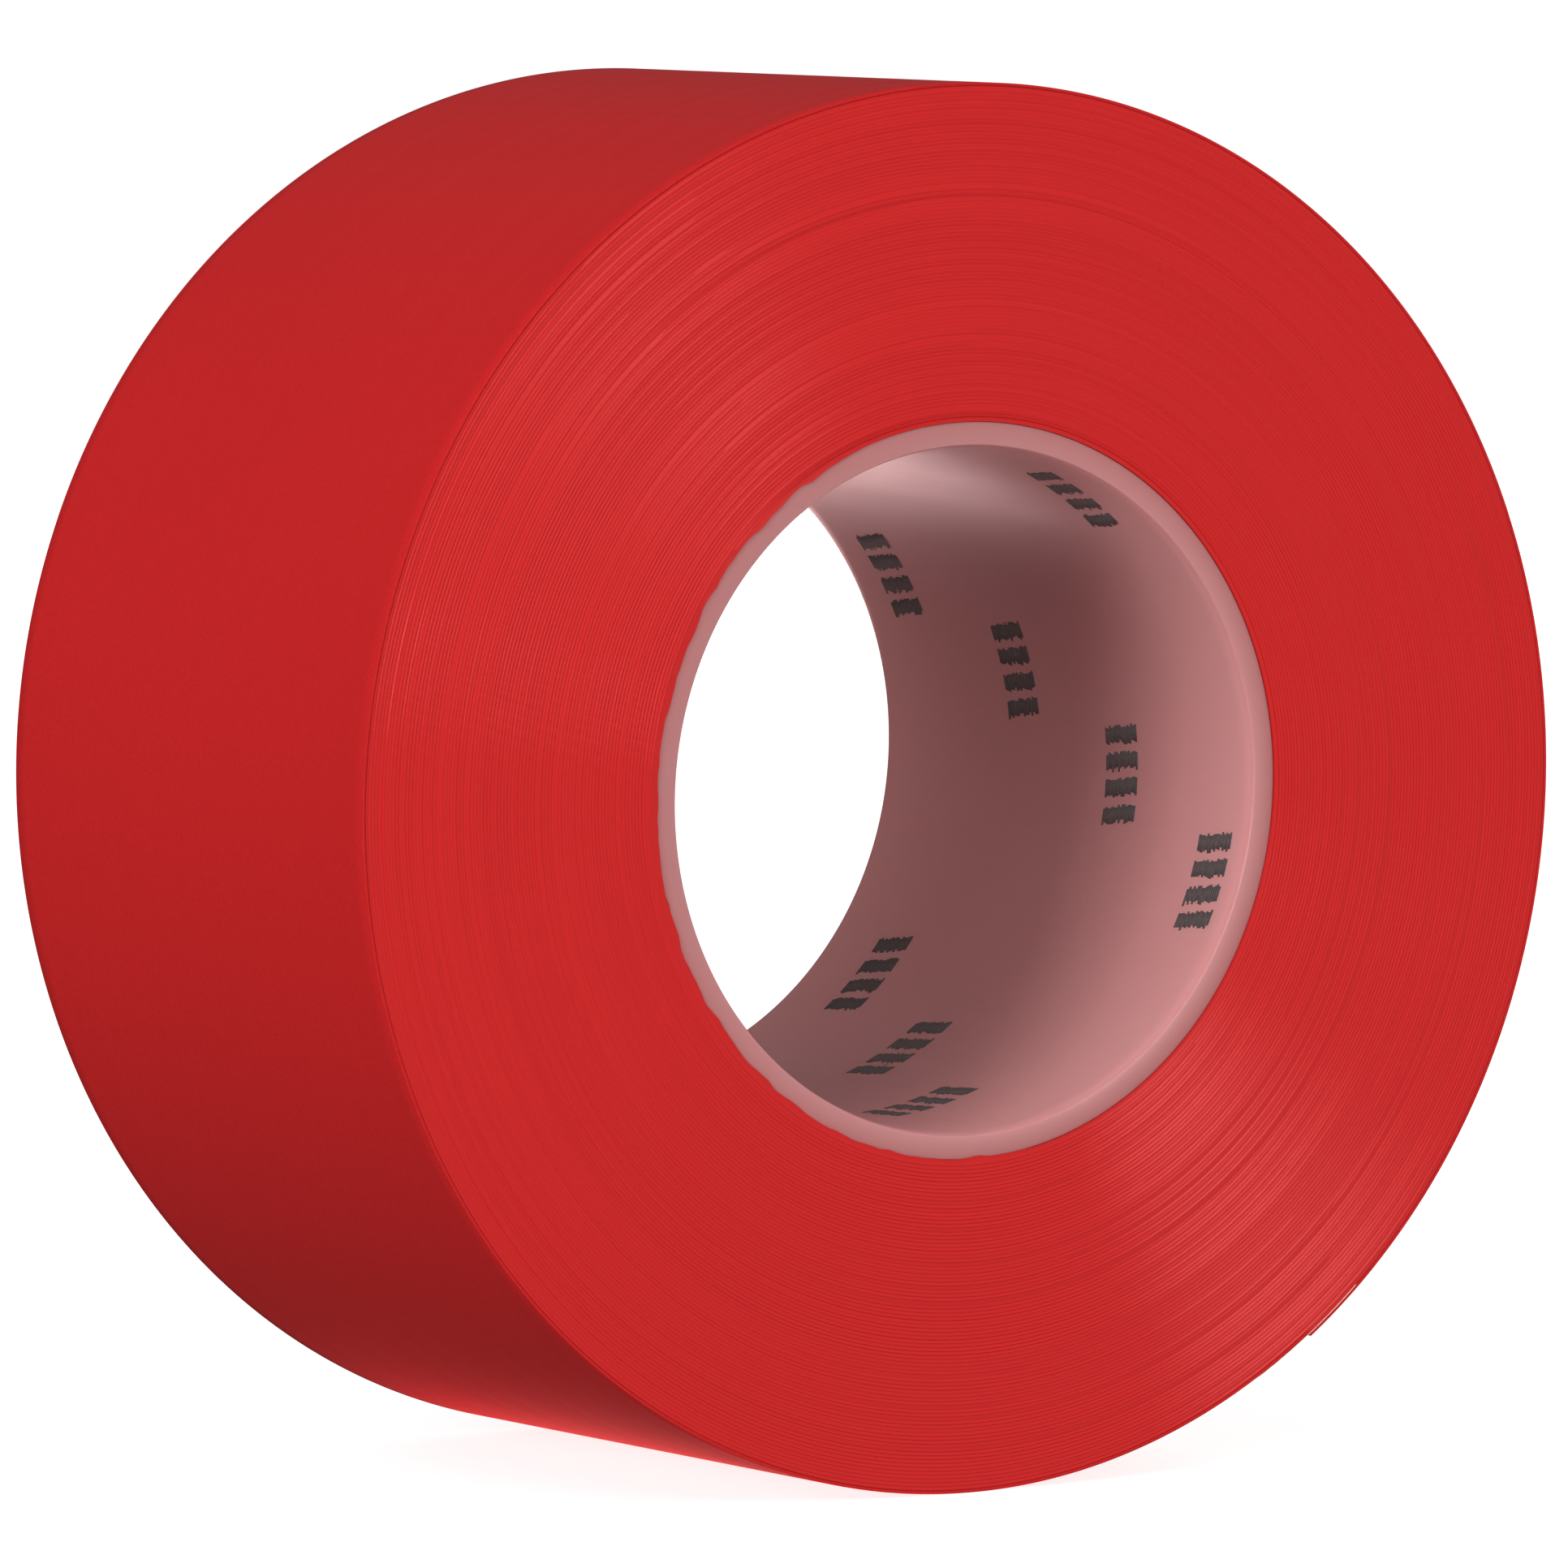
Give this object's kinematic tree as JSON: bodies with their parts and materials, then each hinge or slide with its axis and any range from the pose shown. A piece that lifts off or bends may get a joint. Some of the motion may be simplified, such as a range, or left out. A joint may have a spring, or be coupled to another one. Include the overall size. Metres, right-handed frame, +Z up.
{
  "type": "adhesive tape roll",
  "caption": "Wide roll of vinyl adhesive tape wound on a hollow plastic core, with a free end that peels off the roll.",
  "frame": {"origin": "middle of the core's bore, halfway between its two faces", "axes": "+Y along the roll's axis, with the front face on the -Y side; +Z up, with the roll standing on its rim; +X to the right as seen from the front"},
  "size_m": [0.157, 0.0762, 0.1568],
  "materials": {
    "core_plastic": "milky translucent plastic, smooth, tinted by the tape around it",
    "tape_sides": "satin cut edges of plasticised vinyl with fine layer lines",
    "vinyl_film": "smooth satin plasticised vinyl",
    "adhesive": "tacky clear rubber adhesive over red film",
    "tab_paper": "thin smooth cream paper"
  },
  "bodies": {
    "roll": {"core": "core_plastic", "wound_tape": "tape_sides", "last_turn_film": "vinyl_film", "last_turn_adhesive": "adhesive"},
    "tail_1": {"tail_film_1": "vinyl_film", "tail_adhesive_1": "adhesive"},
    "tail_2": {"tail_film_2": "vinyl_film", "tail_adhesive_2": "adhesive"},
    "tail_3": {"tail_film_3": "vinyl_film", "tail_adhesive_3": "adhesive"},
    "tail_4": {"tail_film_4": "vinyl_film", "tail_adhesive_4": "adhesive"},
    "tail_5": {"tail_film_5": "vinyl_film", "tail_adhesive_5": "adhesive", "start_tab": "tab_paper"}
  },
  "joints": [
    {"name": "tail_peel", "type": "hinge", "parent": "roll", "child": "tail_1", "pos_m": [0.07333, 0, 0.02815], "axis": [0, -1, 0], "range_deg": [0, 60]},
    {"name": "tail_bend_2", "type": "hinge", "parent": "tail_1", "child": "tail_2", "pos_m": [0.07814, 0, 0.00821], "axis": [0, -1, 0], "range_deg": [0, 15]},
    {"name": "tail_bend_3", "type": "hinge", "parent": "tail_2", "child": "tail_3", "pos_m": [0.07762, 0, -0.01229], "axis": [0, -1, 0], "range_deg": [0, 15]},
    {"name": "tail_bend_4", "type": "hinge", "parent": "tail_3", "child": "tail_4", "pos_m": [0.07181, 0, -0.03197], "axis": [0, -1, 0], "range_deg": [0, 15]},
    {"name": "tail_bend_5", "type": "hinge", "parent": "tail_4", "child": "tail_5", "pos_m": [0.0611, 0, -0.04948], "axis": [0, -1, 0], "range_deg": [0, 15]}
  ],
  "couplings": [
    {"joint": "tail_bend_2", "follows": "tail_peel", "ratio": 0.25},
    {"joint": "tail_bend_3", "follows": "tail_peel", "ratio": 0.25},
    {"joint": "tail_bend_4", "follows": "tail_peel", "ratio": 0.25},
    {"joint": "tail_bend_5", "follows": "tail_peel", "ratio": 0.25}
  ]
}
